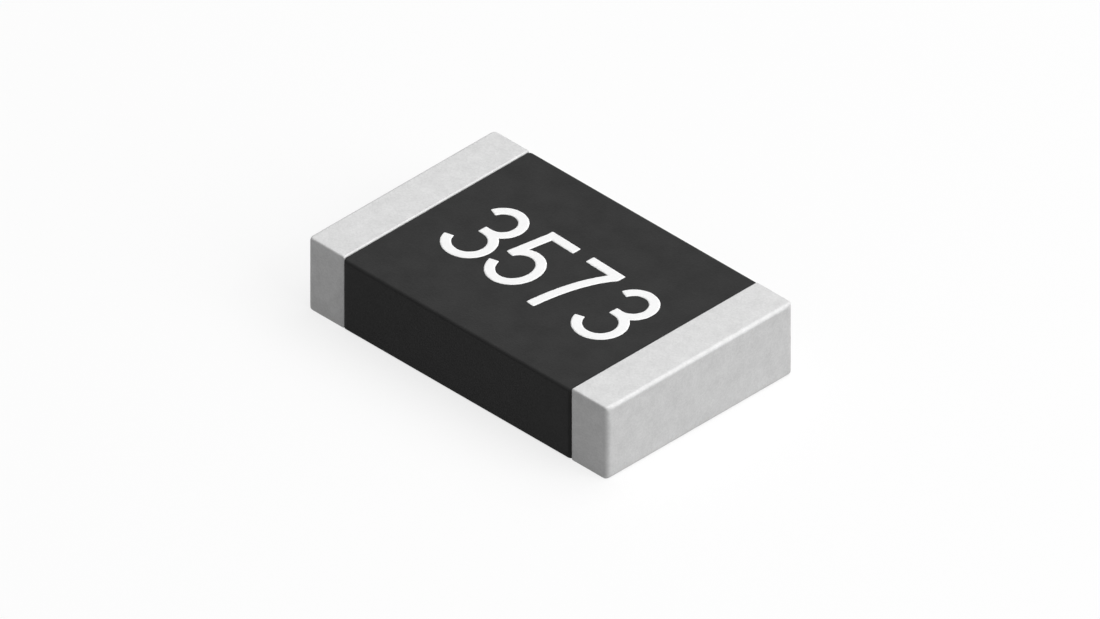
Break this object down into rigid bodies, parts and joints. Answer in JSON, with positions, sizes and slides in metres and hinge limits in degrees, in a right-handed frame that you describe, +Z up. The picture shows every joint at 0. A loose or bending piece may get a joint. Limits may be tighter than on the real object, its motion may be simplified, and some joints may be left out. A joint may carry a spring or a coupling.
{
  "type": "chip resistor",
  "caption": "Surface-mount thick-film resistor: a flat ceramic chip with a printed film under a black overcoat and tin-plated terminals wrapped around both ends for soldering.",
  "frame": {"origin": "middle of the chip on the seating plane, the underside of the two terminals", "axes": "+X along the length from one terminal to the other, +Y across the width, +Z up out of the marked face"},
  "size_m": [0.0032, 0.002, 0.0007],
  "materials": {
    "alumina": "fine-grained fired alumina",
    "silver": "printed and fired silver",
    "film": "fired ruthenium oxide and glass film",
    "glass_seal": "thin fired glass",
    "overcoat": "black epoxy with a fine matte surface",
    "edge_metal": "conductive edge layer",
    "nickel": "dull nickel plate",
    "tin": "matte tin plate",
    "ink": "white marking ink"
  },
  "bodies": {
    "root": {"ceramic_substrate": "alumina", "top_electrode_left": "silver", "top_electrode_right": "silver", "bottom_electrode_left": "silver", "bottom_electrode_right": "silver", "resistive_film": "film", "glass_seal": "glass_seal", "overcoat": "overcoat", "edge_electrode_left": "edge_metal", "edge_electrode_right": "edge_metal", "nickel_barrier_left": "nickel", "nickel_barrier_right": "nickel", "tin_plating_left": "tin", "tin_plating_right": "tin"}
  },
  "joints": []
}
